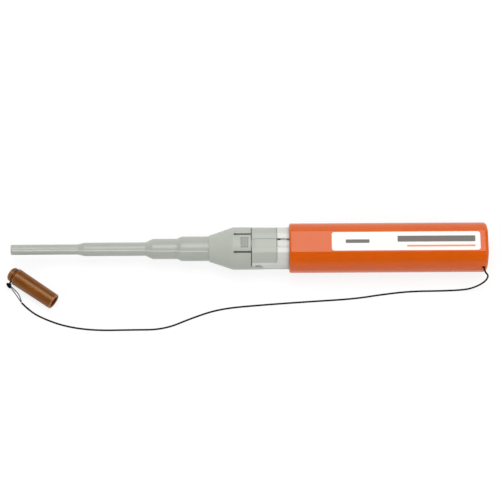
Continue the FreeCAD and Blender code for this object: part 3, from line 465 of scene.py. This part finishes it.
def rounded_plate(tool, low, high, bottom, top, corner, steps=5):
    """Add a plate with rounded corners between two corners (x, y) and two heights."""
    outline = []
    for number, (x, y) in enumerate([(high[0], high[1]), (low[0], high[1]), (low[0], low[1]),
                                     (high[0], low[1])]):
        centre = (x - math.copysign(corner, x - (low[0] + high[0]) / 2),
                  y - math.copysign(corner, y - (low[1] + high[1]) / 2))
        for step in range(steps + 1):
            angle = math.pi / 2 * (number + step / steps)
            outline.append((centre[0] + corner * math.cos(angle),
                            centre[1] + corner * math.sin(angle)))
    lower = [tool.verts.new((x, y, bottom)) for x, y in outline]
    upper = [tool.verts.new((x, y, top)) for x, y in outline]
    tool.faces.new(upper)
    tool.faces.new(list(reversed(lower)))
    for i in range(len(outline)):
        j = (i + 1) % len(outline)
        tool.faces.new((lower[i], lower[j], upper[j], upper[i]))


class PEN_OT_strap_cord(bpy.types.Operator):
    """Lay the braided strap from the grip to the loop at the cap"""
    bl_idname = "pen.strap_cord"
    bl_label = "Strap cord"

    def execute(self, context):
        sizes, colours = context.scene.pen_sizes, context.scene.pen_colours
        cord = curve_object("strap-cord", [CORD_ROUTE], sizes.cord_diameter)
        cord.data.materials.append(braided_nylon(colours.cord, sizes.braid_pitch, CORD_LENGTH,
                                                 "Nylon, braided, black"))
        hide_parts("strap_cord")
        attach(cord, "barrel")
        return {"FINISHED"}


class PEN_OT_strap_loop(bpy.types.Operator):
    """Run the thin doubled strand from the cord's end through the cap to its bead"""
    bl_idname = "pen.strap_loop"
    bl_label = "Strap loop"

    def execute(self, context):
        sizes, colours = context.scene.pen_sizes, context.scene.pen_colours
        through = [[tuple(CAP_NECK + CAP_WAY * side + CAP_SIDE * reach) for reach in (-5, 0, 3.7)]
                   for side in (-0.2, 0.2)]  # side by side through the neck's hole to the bead
        loop = curve_object("strap-loop", LOOP_STRANDS + through, sizes.loop_diameter)
        loop.data.materials.append(braided_nylon(colours.cord, sizes.braid_pitch / 2, LOOP_LENGTH,
                                                 "Nylon, fine braided, black"))
        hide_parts("strap_loop")
        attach(loop, "barrel")

        tool = bmesh.new()
        bmesh.ops.create_uvsphere(tool, u_segments=24, v_segments=16,
                                  radius=sizes.bead_diameter / 2)
        for corner in tool.verts:  # pressed flat where it was crimped on the strands
            corner.co.z *= 0.82 + 0.1 * math.cos(3 * math.atan2(corner.co.y, corner.co.x))
        centre = CAP_NECK * MM + CAP_SIDE * (NECK_RADIUS + sizes.bead_diameter / 2)
        bmesh.ops.translate(tool, vec=centre, verts=tool.verts)
        bead = mesh_object("strap-bead", tool)
        bead.data.materials.append(clear_bead(colours.bead))
        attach(bead, "barrel")
        return {"FINISHED"}


class PEN_OT_strap_knot(bpy.types.Operator):
    """Tie the knot that holds the loop at the cap's neck"""
    bl_idname = "pen.strap_knot"
    bl_label = "Strap knot"

    def execute(self, context):
        sizes, colours = context.scene.pen_sizes, context.scene.pen_colours
        knot = knot_object("strap-knot", sizes.knot_diameter, sizes.cord_diameter)
        knot.data.materials.append(braided_nylon(colours.cord, sizes.braid_pitch, KNOT_LENGTH,
                                                 "Nylon, knotted, black"))
        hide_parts("strap_knot")
        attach(knot, "barrel")
        return {"FINISHED"}


def knot_object(name, width, thickness):
    """A tight overhand knot: one strand wound along a three-leaved path."""
    tool = bmesh.new()
    steps, sides = 90, 10
    reach = (width - thickness) / 6 / MM  # the path's leaves reach out by three of these
    path = []
    for step in range(steps):
        t = 2 * math.pi * step / steps
        path.append(Vector((math.sin(t) + 2 * math.sin(2 * t), math.cos(t) - 2 * math.cos(2 * t),
                            -1.3 * math.sin(3 * t))) * reach)
    lean = Matrix.Rotation(math.radians(35), 4, "X") @ Matrix.Rotation(math.radians(20), 4, "Y")
    pull, stretch = Vector((0.66, -0.75, 0)), 0.3  # drawn longer towards the loop
    rings = []
    for step in range(steps):
        ahead, behind = path[(step + 1) % steps], path[step - 1]
        tangent = (ahead - behind).normalized()
        across = tangent.cross(path[step]).normalized()
        rise = across.cross(tangent).normalized()
        ring = []
        for side in range(sides):
            angle = 2 * math.pi * side / sides
            offset = (across * math.cos(angle) + rise * math.sin(angle)) * (thickness / 2 / MM)
            point = lean @ (path[step] + offset)
            point += KNOT_PLACE + pull * (stretch * point.dot(pull))
            ring.append(tool.verts.new(point * MM))
        rings.append(ring)
    for step in range(steps):
        this, following = rings[step], rings[(step + 1) % steps]
        for side in range(sides):
            other = (side + 1) % sides
            tool.faces.new((this[side], this[other], following[other], following[side]))
    bmesh.ops.recalc_face_normals(tool, faces=tool.faces)
    return mesh_object(name, tool)


class PEN_OT_label(bpy.types.Operator):
    """Finish the label's film and print its plain bars"""
    bl_idname = "pen.label"
    bl_label = "Label"

    def execute(self, context):
        sizes, colours = context.scene.pen_sizes, context.scene.pen_colours
        finish_nodes(label_film(colours.film), "barrel_label")
        film_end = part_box("barrel_label")[1]
        rear = film_end.x - sizes.print_set_in
        ink_height, corner = 0.012 * MM, 0.35 * MM
        bars = [  # each with its first and last corner, in mm from the print's rear end
            ("label-wide-bar", colours.ink, (-37.5, -0.4), (0, 2.6)),
            ("label-short-bar", colours.ink, (-62.5, -0.9), (-51.0, 0.9)),
            ("label-line", colours.accent, (-33.0, -2.9), (0, -2.0)),
        ]
        inks = {}
        for name, colour, first, last in bars:
            tool = bmesh.new()
            corners = [(rear + first[0] * MM, first[1] * MM), (rear + last[0] * MM, last[1] * MM)]
            rounded_plate(tool, corners[0], corners[1], film_end.z - ROOT_DEPTH,
                          film_end.z + ink_height, corner)
            bar = mesh_object(name, tool)
            key = tuple(colour)
            if key not in inks:
                inks[key] = printed_ink(colour, "Ink, screen printed " + str(len(inks) + 1))
            bar.data.materials.append(inks[key])
            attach(bar, "barrel")
        return {"FINISHED"}


class PEN_OT_grip(bpy.types.Operator):
    """Finish the orange grip"""
    bl_idname = "pen.grip"
    bl_label = "Grip"

    def execute(self, context):
        finish_nodes(gloss_abs(context.scene.pen_colours.grip), "barrel_shell", "drive_rack")
        return {"FINISHED"}


def mould_line(name, sizes, side):
    """The fine ridge that the two halves of the tool leave along the nozzle's tubes."""
    tool = bmesh.new()
    spacing = 0.5 * MM  # of the sections, which start and end just short of the tip and the nose
    front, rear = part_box("tip_tube")[0].x + 0.5 * MM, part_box("nose_cone")[0].x - 0.3 * MM
    lean = side - sizes.mould_line_lean
    out = Vector((0, math.sin(lean), math.cos(lean)))
    across = Vector((0, out.z, -out.y))
    half = sizes.mould_line_width / 2
    sections, count = [], round((rear - front) / spacing)
    for step in range(count + 1):
        axis = Vector((front + (rear - front) * step / count, 0, AXIS_HEIGHT))
        radius = outer_reach(NOZZLE_TUBES, axis, out)
        crest = 0 if step in (0, count) else sizes.mould_line_height
        low = math.sqrt(radius ** 2 - half ** 2) - ROOT_DEPTH
        sections.append([tool.verts.new(axis + out * low - across * half),
                         tool.verts.new(axis + out * (radius + crest)),
                         tool.verts.new(axis + out * low + across * half)])
    thing = skinned(name, tool, sections)
    thing.data.shade_flat()
    return thing


def collar_gap_shade(name):
    """A strip of painted shade for the gap behind the collar, laid on the clear case round its top.
    """
    tool = bmesh.new()
    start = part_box("front_collar")[1].x + 0.02 * MM
    # how far it leans off the top, from its end on the +Y side to its end on the -Y side
    first, last, count = math.radians(-66), math.radians(52), 80
    profile = ((0, 0), (0.06, 0.05), (0.28, 0.05), (0.34, 0))  # along and off the case, in mm
    sections = []
    for step in range(count + 1):
        lean = first + (last - first) * step / count
        out = Vector((0, -math.sin(lean), math.cos(lean)))
        section = []
        for along, lift in profile:
            axis = Vector((start + along * MM, 0, AXIS_HEIGHT))
            reach = outer_reach(CASE_HALVES, axis, out) + lift * MM - ROOT_DEPTH
            section.append(tool.verts.new(axis + out * reach))
        sections.append(section)
    return skinned(name, tool, sections)


def case_joint(name, side):
    """The dark line where the halves of the clear case meet, from the nose to under the grip."""
    tool = bmesh.new()
    front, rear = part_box("front_collar")[0].x + 5.2 * MM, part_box("barrel_shell")[0].x + 3 * MM
    out, count = Vector((0, side, 0)), 40
    profile = ((-0.15, 0), (-0.1, 0.05), (0.3, 0.05), (0.35, 0))  # up and off the case, in mm
    sections = []
    for step in range(count + 1):
        section = []
        for rise, lift in profile:
            axis = Vector((front + (rear - front) * step / count, 0, AXIS_HEIGHT + rise * MM))
            reach = outer_reach(CASE_HALVES, axis, out) + lift * MM - ROOT_DEPTH
            section.append(tool.verts.new(axis + out * reach))
        sections.append(section)
    return skinned(name, tool, sections)


class PEN_OT_nozzle(bpy.types.Operator):
    """Finish the grey nose, collar and nozzle"""
    bl_idname = "pen.nozzle"
    bl_label = "Nose and nozzle"

    def execute(self, context):
        colours = context.scene.pen_colours
        finish_nodes(satin_grey(colours.grey, "ABS, spark-eroded satin, grey"), "nose_cone",
                     "front_collar")
        finish_nodes(semi_gloss_grey(colours.tube, "PBT, moulded semi-gloss, grey"),
                     "nozzle_tube", "tip_tube")
        pale = semi_gloss_grey(colours.line, "PBT, pale along the mould line")
        for name, side in (("mould-line-front", 0), ("mould-line-back", math.pi)):
            line = mould_line(name, context.scene.pen_sizes, side)
            line.data.materials.append(pale)
            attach(line, "nozzle")
        # the strip behind the collar is painted shade in its gap; the case's joint lines are its
        # halves' seams
        dark = satin_grey(colours.joint, "ABS, satin, dark in joints and painted gap shade")
        for joint in (collar_gap_shade("collar-gap-shade"), case_joint("case-joint-front", -1),
                      case_joint("case-joint-back", 1)):
            joint.data.materials.append(dark)
            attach(joint, "mechanism")
        return {"FINISHED"}


class PEN_OT_case(bpy.types.Operator):
    """Finish the clear case halves"""
    bl_idname = "pen.clear_case"
    bl_label = "Clear case"

    def execute(self, context):
        finish_nodes(clear_polycarbonate(context.scene.pen_colours.clear), "case_top",
                     "case_bottom")
        return {"FINISHED"}


class PEN_OT_cap(bpy.types.Operator):
    """Finish the brown tip cap"""
    bl_idname = "pen.tip_cap"
    bl_label = "Tip cap"

    def execute(self, context):
        finish_nodes(brown_polypropylene(context.scene.pen_colours.cap), "tip_cap")
        return {"FINISHED"}


class PEN_OT_works(bpy.types.Operator):
    """Finish the gears, reels, shaft, thread and springs inside"""
    bl_idname = "pen.works"
    bl_label = "Inner works"

    def execute(self, context):
        colours = context.scene.pen_colours
        finish_nodes(moulded_acetal(colours.acetal), "rack_pinion", "transfer_gear",
                     "take_up_reel", "supply_reel", "wiper_shaft", "wiper_head", "turning_cam",
                     "thread_guide")
        finish_nodes(stranded_thread(colours.thread), "cleaning_thread", "thread_span",
                     "take_up_strand", "supply_strand", "take_up_winding", "supply_winding")
        finish_nodes(drawn_steel(colours.steel), "return_spring", "head_spring", "brake_washer")
        shorten_with_joints()
        return {"FINISHED"}


def shorten_with_joints():
    """Own meshes for the springs and the thread's loose stretch, which shorten along X as joints
    move.
    """
    for joint in frame["record"]["behaviour"]["joints"]:
        for deforming in joint.get("deforming_nodes", []):
            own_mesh(frame["nodes"][deforming["node"]])


def area_lamp(name, place, target, width, depth, radiance, mirrored=True):
    """A soft lamp of a given radiance, where 1 is white, aimed at a point.

    A lamp that isn't mirrored lights the pieces but leaves no highlight on them.
    """
    lamp = bpy.data.lights.new(name, "AREA")
    lamp.shape = "RECTANGLE"
    lamp.size, lamp.size_y = width, depth
    lamp.energy = radiance * width * depth * 4  # its radiance is a quarter of its watts per area
    thing = bpy.data.objects.new(name, lamp)
    thing.location = place
    thing.rotation_euler = (Vector(target) - Vector(place)).to_track_quat("-Z", "Y").to_euler()
    thing.visible_glossy = mirrored
    bpy.context.scene.collection.objects.link(thing)


class PEN_OT_stage(bpy.types.Operator):
    """Set the pale table, the soft lamps and the camera"""
    bl_idname = "pen.stage"
    bl_label = "Stage"

    def execute(self, context):
        scene = context.scene
        tool = bmesh.new()
        reach = 4  # metres, past the edges of every view
        corners = [(-reach, -reach), (reach, -reach), (reach, reach), (-reach, reach)]
        tool.faces.new([tool.verts.new((x, y, 0)) for x, y in corners])
        table = mesh_object("table", tool)
        table.data.materials.append(pale_table())

        scene.world = pale_room()
        area_lamp("softbox-back", (0, 0.30, 1.35), (0, 0, 0), 0.95, 0.82, 3.7)
        for side, name in ((-1, "softbox-left"), (1, "softbox-right")):
            area_lamp(name, (1.15 * side, -0.55, 0.85), (0, 0, 0), 0.8, 0.8, 2.7, mirrored=False)

        scene.camera = tilted_camera()
        scene.view_settings.view_transform = "Standard"
        return {"FINISHED"}


def tilted_camera():
    """A camera high above the -Y side, aimed at the pen's middle."""
    camera = bpy.data.cameras.new("camera")
    camera.sensor_width = 36
    distance, elevation, view_width = 0.9, math.radians(73), 0.24375
    camera.lens = camera.sensor_width * distance / view_width
    camera.shift_x, camera.shift_y = 0.0028, -0.0030  # in shares of the picture's width
    camera.clip_start, camera.clip_end = 0.01, 50
    viewer = bpy.data.objects.new("camera", camera)
    target = Vector((0, 0, AXIS_HEIGHT))
    away = Vector((0, -math.cos(elevation), math.sin(elevation)))
    upward = Vector((0, math.sin(elevation), math.cos(elevation)))
    basis = Matrix((Vector((1, 0, 0)), upward, away)).transposed()
    roll = Matrix.Rotation(math.radians(-0.335), 3, "Z")
    viewer.matrix_world = Matrix.Translation(target + away * distance) @ (basis @ roll).to_4x4()
    bpy.context.scene.collection.objects.link(viewer)
    return viewer


def pale_room():
    """Pale walls, highest and brightest at the back, under a dim ceiling."""
    world = bpy.data.worlds.new("Pale room")
    world.use_nodes = True
    tree = world.node_tree
    background = next(n for n in tree.nodes if n.type == "BACKGROUND")
    background.inputs["Color"].default_value = (1, 1, 1, 1)
    way = add(tree, "ShaderNodeTexCoord").outputs["Generated"]
    depth, height = add(tree, "ShaderNodeSeparateXYZ", links=[(way, 0)]).outputs[1:]
    level = add(tree, "ShaderNodeMath", operation="ABSOLUTE", links=[(height, 0)]).outputs[0]
    raised_at_back, ceiling = 0.12, 0.3
    lowered = add(tree, "ShaderNodeMath", operation="MULTIPLY_ADD", in_Value=-raised_at_back,
                  links=[(depth, 1), (level, 2)]).outputs[0]
    walls = add(tree, "ShaderNodeMapRange", in_From_Min=0.1, in_From_Max=0.35, in_To_Min=1.0,
                in_To_Max=0.0, links=[(lowered, "Value")]).outputs[0]
    room = add(tree, "ShaderNodeMath", operation="ADD", in_Value=ceiling,
               links=[(walls, 1)]).outputs[0]
    far = add(tree, "ShaderNodeMapRange", in_From_Min=-0.5, in_From_Max=0.8, in_To_Min=0.5,
              in_To_Max=1.0, links=[(depth, "Value")]).outputs[0]
    strength = add(tree, "ShaderNodeMath", operation="MULTIPLY", links=[(room, 0), (far, 1)])
    tree.links.new(strength.outputs[0], background.inputs["Strength"])
    return world


def pale_table():
    """Paper, coated white: lit to white, with only a faint soft shadow of what lies on it."""
    material, tree, shader, place = new_material("Paper, coated, white")
    fibre = add(tree, "ShaderNodeTexNoise", in_Scale=1 / 1.2, links=[(place, "Vector")]).outputs[0]
    wire(tree, shader, Base_Color=mottled(tree, fibre, linear(PAPER_WHITE), 0.004))
    steady(shader, Roughness=0.9, Specular_IOR_Level=0.0)
    glow_level, glow_share = 1.04, 0.78  # the rest is lit paper, which holds the shadow
    glow = add(tree, "ShaderNodeEmission", in_Color=(1, 1, 1, 1), in_Strength=glow_level)
    path = add(tree, "ShaderNodeLightPath").outputs
    seen = add(tree, "ShaderNodeMath", operation="MAXIMUM", links=[
        (path["Is Camera Ray"], 0), (path["Is Glossy Ray"], 1)]).outputs[0]
    seen = add(tree, "ShaderNodeMath", operation="MAXIMUM", links=[
        (seen, 0), (path["Is Transmission Ray"], 1)]).outputs[0]
    share = add(tree, "ShaderNodeMath", operation="MULTIPLY", in_Value=glow_share,
                links=[(seen, 1)]).outputs[0]
    blend = add(tree, "ShaderNodeMixShader", links=[
        (share, 0), (shader.outputs[0], 1), (glow.outputs[0], 2)])
    output = next(n for n in tree.nodes if n.type == "OUTPUT_MATERIAL")
    tree.links.new(blend.outputs[0], output.inputs["Surface"])
    return material


class PEN_PT_panel(bpy.types.Panel):
    """Lists the pen's pieces in the order they are made"""
    bl_label = "Cleaning pen"
    bl_idname = "PEN_PT_panel"
    bl_space_type = "VIEW_3D"
    bl_region_type = "UI"
    bl_category = "Cleaning pen"

    def draw(self, context):
        for group in (context.scene.pen_sizes, context.scene.pen_colours):
            box = self.layout.box()
            for name in group.__annotations__:
                box.prop(group, name)
        for piece in PIECES:
            self.layout.operator(piece.bl_idname)


PIECES = (PEN_OT_stage, PEN_OT_strap_loop, PEN_OT_strap_knot, PEN_OT_strap_cord, PEN_OT_grip,
          PEN_OT_label, PEN_OT_nozzle, PEN_OT_case, PEN_OT_cap, PEN_OT_works)
CLASSES = (PenSizes, PenColours, *PIECES, PEN_PT_panel)


def register():
    for kind in CLASSES:
        bpy.utils.register_class(kind)
    bpy.types.Scene.pen_sizes = bpy.props.PointerProperty(type=PenSizes)
    bpy.types.Scene.pen_colours = bpy.props.PointerProperty(type=PenColours)


def unregister():
    del bpy.types.Scene.pen_sizes
    del bpy.types.Scene.pen_colours
    for kind in reversed(CLASSES):
        bpy.utils.unregister_class(kind)


def main():
    register()
    for piece in PIECES:
        group, name = piece.bl_idname.split(".")
        getattr(getattr(bpy.ops, group), name)()


if __name__ == "__main__":
    main()
